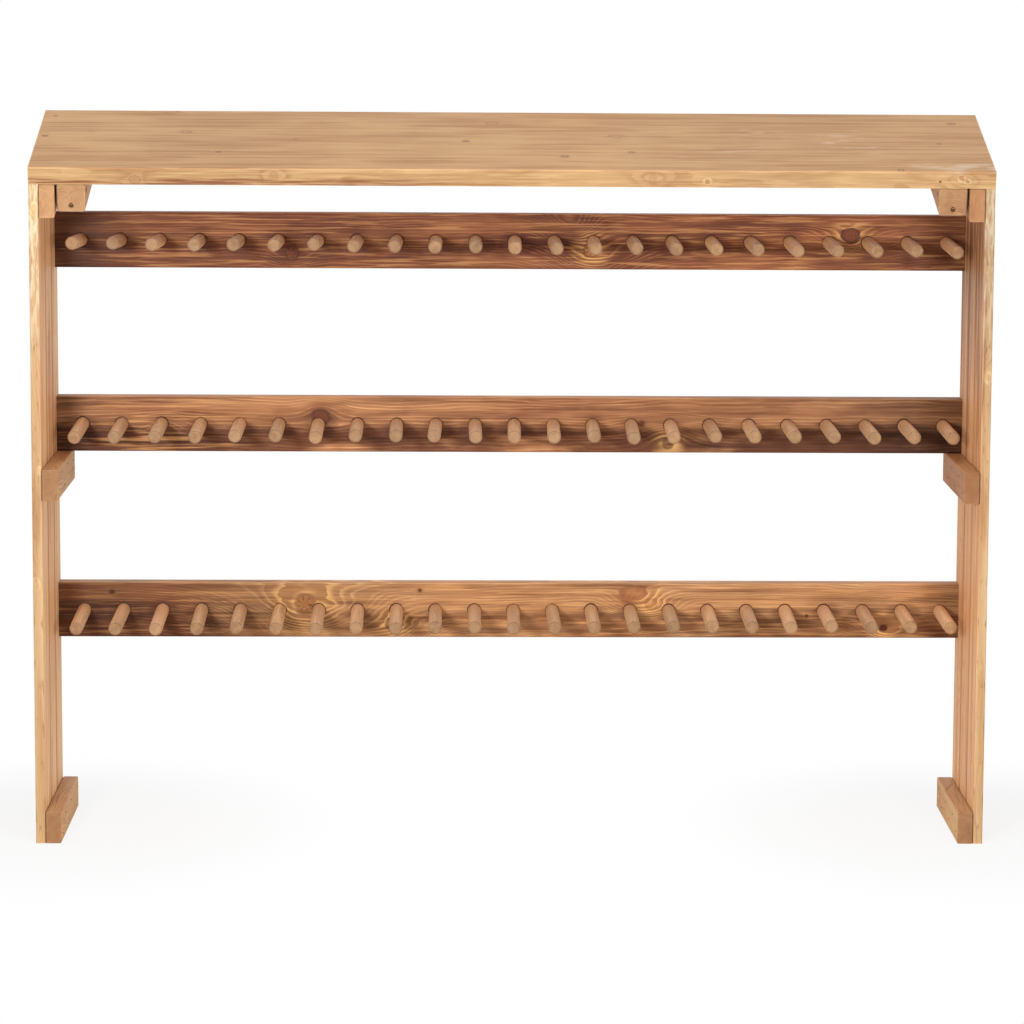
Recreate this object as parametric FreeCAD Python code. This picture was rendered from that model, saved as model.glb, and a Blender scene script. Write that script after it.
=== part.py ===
"""Free-standing wooden boot rack: two boarded side panels, three rails with rows of pegs between
them, and a sloping roof board on battens. Millimetres; the front faces -Y, up is +Z."""

import FreeCAD, Part
import math
import os

# Overall sizes
rack_width = 1500.0  # over the outer faces of the two side panels
front_height = 1040.0  # floor to the roof board's underside, at the panels' front edge
roof_slope = 15.5  # degrees, rising to the back

# Side panels: upright matchboards, tongued and grooved, with a V at each joint on both faces
panel_boards = ("front", "middle", "rear")
board_width = 94.0  # what one board covers
board_thickness = 15.0
vee = 3.5  # chamfer on each edge that meets its neighbour
tongue_thickness = 4.5
tongue_length = 6.0
tongue_side_gap = 0.2
tongue_end_gap = 1.0
board_arris = 1.5  # chamfer on the panel's free front and rear edges

# Cleats: bars across the inner face of each panel that hold its boards together
cleat_thickness = 25.0
cleat_height = 50.0
cleat_arris = 1.5

# Rails between the panels, at the back, and how far each one's top is below front_height
rail_drops = {"top": 58.0, "middle": 356.0, "bottom": 661.0}
rail_thickness = 38.0
rail_height = 89.0
rail_round = 3.0

# Pegs: one row of round dowels along the middle of each rail, standing out of its front face
peg_diameter = 21.0
peg_reach = 150.0  # from the rail's face to the tip
peg_pitch = 63.5
first_peg = 42.0  # centre of the first one from the rail's left end
last_peg_margin = 30.0  # least distance from the last centre to the rail's right end

# Roof board, and the two battens under it that drop between the top cleats
roof_thickness = 27.0
roof_round = 2.5  # on its two upper long edges
batten_thickness = 44.0
batten_height = 44.0
batten_round = 4.0
batten_gap = 3.0  # between a batten and the top cleat beside it

# Pocket in each end of a batten, drilled at a slant for the screw that pulls it up to the roof
pocket_diameter = 7.2
pocket_depth = 12.0
pocket_angle = 45.0  # degrees, rising into the batten
pocket_drop = 35.0  # from the roof board down to the middle of its mouth

slope = math.radians(roof_slope)
panel_depth = board_width * len(panel_boards)
roof_overhang = (roof_thickness - roof_round) * math.sin(slope) + roof_round * (1 - math.cos(slope))
front = (roof_overhang - panel_depth) / 2  # puts the middle of the whole rack at y = 0
back = front + panel_depth
slope_length = panel_depth / math.cos(slope)
back_height = front_height + panel_depth * math.tan(slope)
panel_inside = rack_width / 2 - board_thickness
rail_front = back - rail_thickness
rail_length = 2 * panel_inside
cleat_inside = panel_inside - cleat_thickness
batten_outside = cleat_inside - batten_gap
batten_inside = batten_outside - batten_thickness
batten_length = (panel_depth - batten_height * math.sin(slope)) / math.cos(slope)
peg_count = int((rail_length - first_peg - last_peg_margin) / peg_pitch) + 1
rail_undersides = {height: front_height - drop - rail_height for height, drop in rail_drops.items()}

X, Y, Z = FreeCAD.Vector(1, 0, 0), FreeCAD.Vector(0, 1, 0), FreeCAD.Vector(0, 0, 1)
up_slope = FreeCAD.Vector(0, math.cos(slope), math.sin(slope))
sides = {"left": -1, "right": 1}


def save(node, solids):
    """Write one node, whose separate solids stay separate."""
    Part.makeCompound(solids).exportStep(f"parts/{node}.step")


def bar(low, high):
    """A straight bar between two opposite corners, in either order."""
    corner = FreeCAD.Vector(*(min(a, b) for a, b in zip(low, high)))
    return Part.makeBox(*(abs(a - b) for a, b in zip(low, high)), corner)


def prism(outline, along):
    """Extrude a closed outline, given as points in space, along a vector."""
    points = [FreeCAD.Vector(*point) for point in outline]
    return Part.Face(Part.makePolygon(points + points[:1])).extrude(along)


def edges_along(shape, direction, wanted=lambda middle: True):
    """The straight edges that run along a direction and whose middle is wanted."""
    return [
        edge
        for edge in shape.Edges
        if abs(edge.tangentAt(edge.FirstParameter).dot(direction)) > 0.999 and wanted(edge.CenterOfMass)
    ]


def on_slope(shape):
    """Move a shape drawn flat, with the roof board's underside at z = 0, onto the slope."""
    moved = shape.copy()
    slanted = FreeCAD.Placement(FreeCAD.Vector(0, front, front_height), FreeCAD.Rotation(X, roof_slope))
    moved.Placement = slanted.multiply(shape.Placement)
    return moved


def panel_board(grooved, tongued):
    """One matchboard: x through its thickness, y from its front edge, longer than it will be."""
    thick, wide, centre = board_thickness, board_width, board_thickness / 2
    front_cut = vee if grooved else board_arris
    rear_cut = vee if tongued else board_arris
    front_half = [(0, front_cut), (front_cut, 0)]
    rear_half = [(rear_cut, wide), (0, wide - rear_cut)]
    if grooved:
        half, deep = tongue_thickness / 2 + tongue_side_gap, tongue_length + tongue_end_gap
        front_half += [(centre - half, 0), (centre - half, deep)]
    if tongued:
        half, end = tongue_thickness / 2, wide + tongue_length
        rear_half = [(centre - half, end), (centre - half, wide)] + rear_half
    near = rear_half + front_half
    far = [(thick - x, y) for x, y in reversed(near)]
    return prism([(x, y, 0) for x, y in near + far], Z * back_height)


def above_roof():
    """The space above the plane of the roof board's underside, which trims the boards' tops."""
    reach = panel_depth * 2
    return on_slope(bar((-rack_width, -reach, 0), (rack_width, reach, reach)))


def sloping_cleat(side):
    """Top cleat: along the roof board's underside, with both ends cut plumb."""
    drop = cleat_height / math.cos(slope)
    tops = [(front, front_height), (back, back_height)]
    outline = [(side * cleat_inside, y, z) for y, z in tops]
    outline += [(side * cleat_inside, y, z - drop) for y, z in reversed(tops)]
    cleat = prism(outline, X * side * cleat_thickness)
    return cleat.makeChamfer(cleat_arris, edges_along(cleat, up_slope))


def level_cleat(side, top):
    """Middle or foot cleat: level, and as deep as the panel."""
    cleat = bar((side * cleat_inside, front, top - cleat_height), (side * panel_inside, back, top))
    return cleat.makeChamfer(cleat_arris, edges_along(cleat, Y))


def roof_batten(side):
    """Batten under the roof board, square at its ends, where the slanting pockets open."""
    low = (side * batten_inside, 0, -batten_height)
    batten = bar(low, (side * batten_outside, batten_length, 0))
    batten = batten.makeFillet(batten_round, edges_along(batten, Y))
    lean = math.radians(pocket_angle)
    outside = pocket_diameter * 2
    for end, inwards in ((0, 1), (batten_length, -1)):
        aim = FreeCAD.Vector(0, inwards * math.cos(lean), math.sin(lean))
        mouth = FreeCAD.Vector(side * (batten_inside + batten_thickness / 2), end, -pocket_drop)
        drill = Part.makeCylinder(pocket_diameter / 2, outside + pocket_depth, mouth - aim * outside, aim)
        batten = batten.cut(drill)
    return on_slope(batten)


def roof_board():
    """The roof, one wide board whose ends are flush with the panels."""
    board = bar((-rack_width / 2, 0, 0), (rack_width / 2, slope_length, roof_thickness))
    upper = edges_along(board, X, lambda middle: middle.z > roof_thickness / 2)
    return on_slope(board.makeFillet(roof_round, upper))


def rail(underside):
    """One rail, between the panels' inner faces and flush with their backs."""
    timber = bar((-panel_inside, rail_front, underside), (panel_inside, back, underside + rail_height))
    return timber.makeFillet(rail_round, edges_along(timber, X))


def pegs(underside):
    """One rail's row of pegs."""
    middle = underside + rail_height / 2
    feet = [first_peg - panel_inside + place * peg_pitch for place in range(peg_count)]
    return [
        Part.makeCylinder(peg_diameter / 2, peg_reach, FreeCAD.Vector(x, rail_front, middle), -Y)
        for x in feet
    ]


def build():
    os.makedirs("parts", exist_ok=True)
    save("roof_board", [roof_board()])

    for height, underside in rail_undersides.items():
        save(f"{height}_rail", [rail(underside)])
        save(f"{height}_rail_pegs", pegs(underside))

    trim = above_roof()
    for name, side in sides.items():
        panel_left = -rack_width / 2 if side < 0 else panel_inside
        for place, position in enumerate(panel_boards):
            board = panel_board(grooved=place > 0, tongued=place < len(panel_boards) - 1)
            board.translate(FreeCAD.Vector(panel_left, front + place * board_width, 0))
            save(f"{name}_panel_{position}_board", [board.cut(trim)])
        save(f"{name}_top_cleat", [sloping_cleat(side)])
        save(f"{name}_middle_cleat", [level_cleat(side, rail_undersides["middle"])])
        save(f"{name}_foot_cleat", [level_cleat(side, cleat_height)])
        save(f"{name}_roof_batten", [roof_batten(side)])


build()
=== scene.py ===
import math

import bpy
import numpy as np
from mathutils import Matrix, Vector


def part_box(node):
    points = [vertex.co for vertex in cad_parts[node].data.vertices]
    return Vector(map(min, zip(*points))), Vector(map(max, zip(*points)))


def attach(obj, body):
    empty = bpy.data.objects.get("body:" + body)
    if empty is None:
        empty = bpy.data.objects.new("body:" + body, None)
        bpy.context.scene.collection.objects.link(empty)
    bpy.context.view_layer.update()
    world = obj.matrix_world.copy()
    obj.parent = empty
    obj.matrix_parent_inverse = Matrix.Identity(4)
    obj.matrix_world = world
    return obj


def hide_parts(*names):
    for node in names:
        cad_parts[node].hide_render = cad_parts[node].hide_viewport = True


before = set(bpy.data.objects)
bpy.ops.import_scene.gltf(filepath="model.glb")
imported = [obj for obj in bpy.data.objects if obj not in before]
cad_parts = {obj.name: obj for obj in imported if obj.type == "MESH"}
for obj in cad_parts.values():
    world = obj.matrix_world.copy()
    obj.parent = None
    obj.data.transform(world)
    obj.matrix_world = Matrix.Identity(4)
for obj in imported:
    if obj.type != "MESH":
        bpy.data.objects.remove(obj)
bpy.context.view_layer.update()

print("frame loaded:", len(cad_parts), "nodes")

rack = {
    "slope": 15.5,  # degrees that the roof board rises to the back
    "pegPitch": 0.0635,
    "boardWidth": 0.094,  # what one panel board covers
    "seed": 20,
}
random = np.random.default_rng(rack["seed"])
slopeTurn = np.array(Matrix.Rotation(math.radians(rack["slope"]), 3, "X"))
levelTurn = np.eye(3)
toFront = [0.0, -1.0, 0.0]
toTop = [0.0, 0.0, 1.0]
sides = {"left": -1, "right": 1}
inwards = {"left": [1.0, 0.0, 0.0], "right": [-1.0, 0.0, 0.0]}


class Wire:
    # an output socket; sums of wires and numbers add Math nodes
    def __init__(self, tree, socket=None):
        self.tree = tree
        self.socket = socket

    def node(self, kind, sockets=None, settings=None, out=0):
        # adds a node and gives the output that is wanted, or a list when several are
        made = self.tree.nodes.new("ShaderNode" + kind)
        for key, value in (settings or {}).items():
            setattr(made, key, value)
        for key, value in (sockets or {}).items():
            if isinstance(value, Wire):
                self.tree.links.new(value.socket, made.inputs[key])
            else:
                made.inputs[key].default_value = value
        if isinstance(out, tuple):
            return [Wire(self.tree, made.outputs[name]) for name in out]
        return Wire(self.tree, made.outputs[out])

    def end(self, kind):
        # leads this wire to the tree's last node
        self.node(kind, {"Surface": self}, out=())

    def math(self, operation, *others):
        return self.node("Math", dict(enumerate((self, *others))), {"operation": operation})

    def __add__(self, other):
        return self.math("ADD", other)

    def __sub__(self, other):
        return self.math("SUBTRACT", other)

    def __rsub__(self, other):
        return self.node("Math", {0: other, 1: self}, {"operation": "SUBTRACT"})

    def __mul__(self, other):
        return self.math("MULTIPLY", other)

    def __truediv__(self, other):
        return self.math("DIVIDE", other)

    def __pow__(self, other):
        return self.math("POWER", other)

    __radd__ = __add__
    __rmul__ = __mul__

    def between(self, low, high):
        # 0 at low, 1 at high, and a smooth step between; high may be the lower number
        sockets = {"Value": self, "From Min": low, "From Max": high}
        return self.node("MapRange", sockets, {"interpolation_type": "SMOOTHSTEP"})

    def blend(self, first, second, kind="MIX"):
        # mixes two colours with this wire as the factor
        settings = {"data_type": "RGBA", "blend_type": kind}
        return self.node("Mix", {0: self, 6: first, 7: second}, settings, 2)

    def parts(self):
        # the three numbers of a vector
        return self.node("SeparateXYZ", {0: self}, out=("X", "Y", "Z"))

    def read(self, name, out="Fac"):
        # the values that a piece's points carry under a name
        return self.node("Attribute", settings={"attribute_name": name}, out=out)


def clearTree(owner):
    # empties the node tree of a material or a world, and gives a wire to add nodes from
    owner.use_nodes = True
    owner.node_tree.nodes.clear()
    return Wire(owner.node_tree)


def paint(red, green, blue):
    # a colour as it is written on screen, in the linear numbers that sockets take
    part = np.array([red, green, blue]) / 255
    linear = np.where(part <= 0.04045, part / 12.92, ((part + 0.055) / 1.055) ** 2.4)
    return (*linear.tolist(), 1.0)


def lengthOf(*parts):
    squares = [part * part for part in parts]
    return sum(squares[1:], start=squares[0]) ** 0.5


def offset(part, middle, size):
    # how far a wire is from a middle, as a share of a size, in one node
    return part.math("MULTIPLY_ADD", 1 / size, -middle / size)


def noise(start, place, scales, detail=2.0, roughness=0.5):
    # smooth noise on a stretched grid: the scales are waves per millimetre along u, v and w
    parts = {axis: part * scale for axis, (part, scale) in enumerate(zip(place, scales))}
    at = start.node("CombineXYZ", parts)
    sockets = {"Vector": at, "Scale": 1.0, "Detail": detail, "Roughness": roughness}
    return start.node("TexNoise", sockets, out="Fac")


def slowNoise(start, along, out="Fac"):
    # noise that changes in one direction only
    sockets = {"W": along, "Scale": 1.0, "Detail": 1.0}
    return start.node("TexNoise", sockets, {"noise_dimensions": "1D"}, out)


# How wood is grown and worn where its look says nothing else, in millimetres. A scale is in
# waves per millimetre along u, v and w; a cut is where a noise starts to show and is full; a
# show is a share of full strength.
plainWood = {
    "ring": 3.2,  # width of one year
    "wander": 22,  # how far the pith strays sideways
    "dive": 26,  # how far it strays towards and away from the face
    "pace": 0.0016,  # waves of that straying per millimetre
    "heave": 3,  # long waves in the rings
    "heaveScale": (0.0045, 0.02, 0.02),
    "ripple": 1.4,  # small waves in the rings
    "rippleScale": (0.014, 0.07, 0.07),
    "lateFrom": 0.3,  # the share of a year at which its late wood starts to darken
    "lateFull": 0.9,
    "lateEnd": (1, 0.93),
    "yearPace": 0.37,  # how soon strong and weak years take turns
    "yearCut": (0.2, 0.48),
    "brushShare": 0.4,  # how much fainter the rings are in plain patches
    "brushScale": (0.006, 0.04, 0.04),
    "brushCut": (0.4, 0.6),
    "fibreScale": (0.02, 0.9, 0.9),
    "streakScale": (0.0035, 0.09, 0.09),
    "streakCut": (0.4, 0.66),
    "blotchScale": (0.006, 0.016, 0.016),
    "blotchCut": (0.4, 0.7),
    "frontDeep": 5,  # how far in from the front face the knots of that face are seen
    "facing": (0.6, 0.9),  # how squarely a face looks in a painted light tint's direction to take it
    "endFacing": (0.75, 0.95),
    "endTint": (0.7, 0.7, 0.7),
    "toneDrift": 0.25,  # how much lighter and darker the wood gets along its length
    # lighter edges: partly wear, partly a painted highlight along the arrises
    "wearAndHighlight": (1.35, 1.3, 1.25, 1),
    "wearAndHighlightBand": (2.6, 0.3),  # how far in from an edge the lighter band starts and is full
    "wearAndHighlightStray": 5,
    "wearAndHighlightShow": 0.35,
    "fray": 6,  # how far the fibres fray the edge of a line or a spot
    "spotEdge": (1.5, 0.9),  # in shares of the spot's radius
    "spotShow": 0.8,
    "rough": 0.55,
    "roughDrift": 0.2,
    "gloss": 0.3,
    "relief": (0.7, 0.5),  # of the fibres and of the late wood
    "bump": {"Strength": 0.3, "Distance": 0.0004},
    **dict.fromkeys(("knots", "frontKnots", "scuffs", "lightAndShadeTints", "shades", "joints", "spots"), ()),
}

# how far each noise is shifted along the grain, in seeds, so that no two are alike
shifts = {"heave": 17, "ripple": 23, "brush": 73, "fibre": 31, "streak": 57, "blotch": 91, "scuff": 7}
scuffApart = 511.0  # millimetres between the noises of one board's scuffs

# How a knot looks where its kind says nothing else. Lengths are in shares of its size; a band
# is where a part of it starts and where it is full, from the knot's middle.
plainKnot = {
    "long": 1.15,
    "high": 0.999,  # not 1, as Cycles merges like nodes, and would then run out of room
    "reach": 1,  # of the grain that is swept round it
    "bell": (0.12, 0.3),  # how soon that fades, along and across
    "pull": 0.92,  # how closely the grain is drawn in
    "rise": 0.8,  # of the rings towards it
    "ragged": 0.9,
    "haloBand": (2.6, 0.8),
    "haloShow": 0.5,
    "glowReach": 3.4,
    "glowFull": 1.2,
    "glowShow": 0.4,
    "rings": 1.3,  # how close its own rings are
    "ringShow": 0.35,
    "crackStray": 5,
    "crackWide": (0.4, 0.08),
    "crackBands": ((0.05, 0.25), (1, 0.7)),
    "crackShow": 0.9,
    "heartBand": (1.1, 0.75),
    "show": 1,
    "rimBands": ((0.65, 0.95), (1.25, 1)),
    "rimShow": 0.5,
}


def sweepRound(across, rise, u, v, kind, within=1.0):
    # Round each knot the grain is drawn in to the knot's own line, so the rings crowd past it on
    # both sides, and they rise towards it; both fade as a bell with the distance from the knot.
    bellAlong, bellAcross = kind["bell"]
    fades = []
    for middleU, middleV, size in kind["at"]:
        reach = size * kind["reach"]
        alongKnot, acrossKnot = offset(u, middleU, reach), offset(v, middleV, reach)
        bell = alongKnot * alongKnot * -bellAlong - acrossKnot * acrossKnot * bellAcross
        fade = bell.math("EXPONENT") * within
        across -= (across - middleV) * fade * kind["pull"]
        rise += fade * (size * kind["rise"])
        fades.append(fade)
    return across, rise, fades


def drawKnots(colour, u, v, ragged, late, kind, within=1.0):
    # Knots of one kind, drawn from the distance to the nearest of them: an oval of fine rings
    # with a dark rim, soft at its edge, with a stained halo, pale late wood where the grain
    # sweeps round it and, in an old knot, cracks that fan out from its heart.
    nearest = None
    for middleU, middleV, size in kind["at"]:
        alongKnot = offset(u, middleU, size * kind["long"])
        acrossKnot = offset(v, middleV, size * kind["high"])
        distance = lengthOf(alongKnot, acrossKnot)
        nearest = distance if nearest is None else nearest.math("MINIMUM", distance)
    distance = nearest + ragged * kind["ragged"]
    halo = distance.between(*kind["haloBand"]) * within * kind["haloShow"]
    colour = halo.blend(colour, kind["halo"], "MULTIPLY")
    if "swirl" in kind:
        glow = distance.between(kind["glowReach"], kind["glowFull"]) * within * kind["swirl"]
        colour = (glow * kind["glowShow"]).blend(colour, kind["glow"])
        colour = (late * glow).blend(colour, kind["bright"])
    waves = ((distance + ragged) * (size * kind["rings"])).math("SINE")
    inside = ((waves * 0.5 + 0.5) * kind["ringShow"]).blend(kind["heart"], kind["rim"])
    if "cracks" in kind:
        angle = acrossKnot.math("ARCTAN2", alongKnot)
        fan = (angle * (kind["cracks"] / 2) + ragged * kind["crackStray"]).math("SINE").math("ABSOLUTE")
        inner, outer = kind["crackBands"]
        crack = fan.between(*kind["crackWide"]) * distance.between(*inner) * distance.between(*outer)
        inside = (crack * kind["crackShow"]).blend(inside, kind["rim"])
    heart = distance.between(*kind["heartBand"]) * within * kind["show"]
    colour = heart.blend(colour, inside)
    inner, outer = kind["rimBands"]
    rim = distance.between(*inner) * distance.between(*outer) * within
    return (rim * kind["rimShow"]).blend(colour, kind["rim"])


def drawPegShadows(colour, place, ragged, shadowSpec):
    # painted shadow of every peg: an uneven dark oval past it; the remainder of u over the pitch repeats it
    u, v, w = place
    fromPeg = ((u - shadowSpec["from"]) / shadowSpec["pitch"] + 0.5).math("FRACT") - 0.5
    patch = lengthOf(fromPeg * (shadowSpec["pitch"] / shadowSpec["long"]), (v - shadowSpec["at"]) / shadowSpec["high"])
    for part, share in zip(ragged, shadowSpec["ragged"]):
        patch += part * share
    patch = patch.between(*shadowSpec["edge"])
    return (patch * w.between(*shadowSpec["deep"]) * shadowSpec["show"]).blend(colour, shadowSpec["tone"], "MULTIPLY")


def nearEdge(place, half, ragged, band):
    # 1 on the edges of a board, fading inwards: at an edge the board's two nearest faces are
    # both close, so the distance is the least, over the pairs of faces, of the greater one
    gaps = [size - part.math("ABSOLUTE") for part, size in zip(place, half)]
    pairs = [gaps[first].math("MAXIMUM", gaps[second]) for first, second in ((0, 1), (0, 2), (1, 2))]
    nearest = pairs[0].math("MINIMUM", pairs[1]).math("MINIMUM", pairs[2])
    return (nearest + ragged).between(*band)


def window(place, bounds):
    # 1 within soft bounds, each an axis and where along it the window starts and is fully open
    parts = [place["uvw".index(axis)].between(low, high) for axis, low, high in bounds]
    return math.prod(parts[1:], start=parts[0])


def woodFinish(name, look, board):
    # The distance from the pith, divided by a year's growth, gives the rings; its fraction
    # rises slowly through the early wood and drops at the late wood's sharp edge.
    material = bpy.data.materials.new(name)
    start = clearTree(material)
    u, v, w = place = board["axes"](start)
    spec = {**plainWood, **look}
    seed = spec["seed"]

    def grown(part, **more):
        # one of the wood's noises, each on its own scale and shifted its own way
        return noise(start, (u + seed * shifts[part], v, w), spec[f"{part}Scale"], **more)

    drift = slowNoise(start, u * spec["pace"] + seed, "Color")
    drifts = start.node("SeparateColor", {0: drift}, out=("Red", "Green", "Blue"))
    driftSide, driftDeep, driftTone = drifts
    heave = grown("heave") - 0.5
    ripple = grown("ripple") - 0.5
    brushed = grown("brush").between(*spec["brushCut"])
    grainV, grainW, rise = v, w, 0.0
    for kind in spec["knots"]:
        grainV, rise, fades = sweepRound(grainV, rise, u, v, kind)
        for fade in fades:
            brushed = brushed.math("MAXIMUM", fade)
    if spec["frontKnots"]:
        onFront = v.between(spec["frontFace"] + spec["frontDeep"], spec["frontFace"])
    for kind in spec["frontKnots"]:
        grainW, rise, _ = sweepRound(grainW, rise, u, w, kind, onFront)
    sideways = grainV - spec["pith"][0] - (driftSide - 0.5) * (2 * spec["wander"])
    deep = grainW - spec["pith"][1] - (driftDeep - 0.5) * (2 * spec["dive"])
    fromPith = lengthOf(sideways, deep) + heave * (4 * spec["heave"]) + rise
    years = (fromPith + ripple * (4 * spec["ripple"])) / spec["ring"]
    year = years.math("FRACT")
    late = year.between(spec["lateFrom"], spec["lateFull"]) * year.between(*spec["lateEnd"])
    lateness = late * slowNoise(start, years * spec["yearPace"] + seed).between(*spec["yearCut"])

    fibre = grown("fibre", detail=4.0, roughness=0.6) - 0.5
    streak = grown("streak", detail=3.0)
    blotch = grown("blotch")
    normal = start.node("NewGeometry", out="Normal")

    def facing(direction):
        sockets = {0: normal, 1: direction}
        return start.node("VectorMath", sockets, {"operation": "DOT_PRODUCT"}, "Value")

    shown = (1.0 - spec["brushShare"] * (1.0 - brushed)) * spec["ringShow"]
    colour = (lateness * shown).blend(spec["early"], spec["late"])
    for part, amount in (("streak", streak), ("blotch", blotch)):
        share = amount.between(*spec[f"{part}Cut"]) * spec[f"{part}Show"]
        colour = share.blend(colour, spec[part])
    for order, scuff in enumerate(spec["scuffs"]):
        along = u + seed * shifts["scuff"] + order * scuffApart
        patch = noise(start, (along, v, w), scuff["scales"], detail=3.0)
        patch = patch.between(*scuff["cut"]) * scuff["show"] * window(place, scuff["where"])
        colour = patch.blend(colour, scuff["tone"], scuff.get("kind", "MIX"))
    # painted shadows of the pegs on the rail's front
    if "pegShadow" in spec:
        colour = drawPegShadows(colour, place, (blotch - 0.5, ripple), spec["pegShadow"])
    for kind in spec["knots"]:
        if kind["show"] > 0:
            colour = drawKnots(colour, u, v, ripple, late, kind)
    for kind in spec["frontKnots"]:
        colour = drawKnots(colour, u, w, ripple, late, kind, onFront)
    # painted light and shade: each face takes a tint by the way it faces
    for direction, tint in spec["lightAndShadeTints"]:
        share = facing(direction).between(*spec["facing"])
        colour = share.blend(colour, (*tint, 1.0), "MULTIPLY")
    level = 1.0 + fibre * spec["fibreShow"] + (driftTone - 0.5) * spec["toneDrift"]
    endGrain = facing(board["along"]).math("ABSOLUTE").between(*spec["endFacing"])
    colour = endGrain.blend(colour, (*spec["endTint"], 1.0), "MULTIPLY")
    # darker in windows: dark joint lines, tone, and painted shade where a look asks for it
    for bounds, amount in spec["shades"]:
        level *= 1.0 - window(place, bounds) * amount
    # lighter along the edges: partly wear, partly a painted highlight on the arrises
    if "half" in board:
        wearAndHighlight = nearEdge(place, board["half"], (fibre + ripple) * spec["wearAndHighlightStray"], spec["wearAndHighlightBand"])
        colour = (wearAndHighlight * spec["wearAndHighlightShow"]).blend(colour, spec["wearAndHighlight"], "MULTIPLY")
    for joint in spec["joints"]:
        groove = ((v - joint).math("ABSOLUTE") + fibre * spec["fray"]).between(*spec["jointBand"])
        colour = (groove * spec["jointShow"]).blend(colour, spec["jointTone"])
    # painted shade round a spot, as at a pocket's mouth
    for spot, size in spec["spots"]:
        distance = lengthOf(*(part - middle for part, middle in zip(place, spot))) + fibre * spec["fray"]
        outer, inner = (size * share for share in spec["spotEdge"])
        level *= 1.0 - distance.between(outer, inner) * spec["spotShow"]
    if "toneName" in board:
        level *= start.read(board["toneName"])
    colour = start.node("VectorMath", {0: colour, "Scale": level}, {"operation": "SCALE"})

    relief = fibre * spec["relief"][0] + lateness * spec["relief"][1]
    bump = start.node("Bump", {"Height": relief, **spec["bump"]})
    rough = spec["rough"] + (streak - 0.5) * spec["roughDrift"]
    sockets = {"Base Color": colour, "Roughness": rough, "Normal": bump}
    sockets["Specular IOR Level"] = spec["gloss"]
    start.node("BsdfPrincipled", sockets).end("OutputMaterial")
    return material


def levelBox(node, turn=levelTurn):
    # a CAD board's lowest and highest corners once its mesh is turned level
    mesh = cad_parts[node].data
    corners = np.empty(len(mesh.vertices) * 3, np.float32)
    mesh.vertices.foreach_get("co", corners)
    flat = corners.reshape(-1, 3) @ turn
    return flat.min(axis=0), flat.max(axis=0)


def boardOf(node, order, turn=levelTurn):
    # A CAD board seen along its own grain: "axes" gives a material u, v and w in millimetres
    # from the board's middle, u along the grain, "half" its half sizes in that order, and
    # "along" the grain's direction.
    low, high = levelBox(node, turn)
    toBoard = {
        "Location": turn @ ((low + high) / 2),
        "Rotation": Matrix(turn.tolist()).to_euler(),
        "Scale": (0.001, 0.001, 0.001),
    }

    def axes(start):
        point = start.node("TexCoord", out="Object")
        local = start.node("Mapping", {"Vector": point, **toBoard}, {"vector_type": "TEXTURE"})
        parts = dict(zip("xyz", local.parts()))
        return [parts[letter] for letter in order]

    half = [float((high - low)["xyz".index(letter)]) * 500 for letter in order]
    return {"axes": axes, "half": half, "along": turn[:, "xyz".index(order[0])].tolist()}


def placed(name, data):
    # a new object in the scene
    made = bpy.data.objects.new(name, data)
    bpy.context.scene.collection.objects.link(made)
    return made


def dress(node, finish):
    # gives a CAD node its finish
    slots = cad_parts[node].data.materials
    slots.clear()
    slots.append(finish)


# Kinds of knot, each with what it changes of a plain one. A halo stains the wood round a knot,
# and a swirl is how much of the grain that sweeps past it is pale.
swirled = {
    "swirl": 0.7,
    "glow": paint(196, 138, 84),
    "bright": paint(232, 180, 112),
    "reach": 2.2,
    "rise": 1.6,
}
darkKnot = {"heart": paint(108, 56, 30), "rim": paint(54, 26, 14), "halo": (0.5, 0.4, 0.33, 1)}
redKnot = {"heart": paint(112, 58, 32), "rim": paint(62, 28, 16), "halo": (0.7, 0.56, 0.46, 1)}
paleKnot = {
    **swirled,
    "heart": paint(178, 120, 70),
    "rim": paint(106, 60, 30),
    "halo": (0.95, 0.88, 0.8, 1),
}
wideSwirl = {**paleKnot, "swirl": 0.95, "glowReach": 4.6, "reach": 2.8, "rise": 2.8, "long": 1, "cracks": 7}
darkSwirl = {**darkKnot, **swirled, "swirl": 1, "glowReach": 5.5, "reach": 3, "rise": 2.6, "cracks": 5}
curl = {"show": 0}  # grain swept round a knot that lies under the surface
greyKnot = {
    "heart": paint(184, 136, 94),
    "rim": paint(92, 58, 38),
    "rimShow": 0.75,
    "halo": (0.94, 0.9, 0.86, 1),
    "swirl": 0.3,
    "glow": paint(214, 172, 124),
    "bright": paint(176, 126, 80),
}
faintKnot = {
    **greyKnot,
    "heart": paint(188, 138, 92),
    "rim": paint(138, 94, 62),
    "show": 0.5,
    "rimShow": 0.3,
}
edgeKnot = {
    **faintKnot,
    "heart": paint(204, 138, 88),
    "rim": paint(150, 92, 56),
    "bright": paint(244, 208, 158),
    "swirl": 0.6,
    "glowReach": 2.6,
    "show": 0.85,
    "rimShow": 0.5,
    "reach": 2.4,
    "rise": 1.6,
}


def knotsOf(kind, *at, **changes):
    # knots of one kind at places that give u, v and the knot's size
    return {**plainKnot, **kind, **changes, "at": at}


def alongShades(*shades):
    # shades along the grain: where each starts and is full, and how much it darkens
    return [([("u", start, full)], amount) for start, full, amount in shades]


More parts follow.
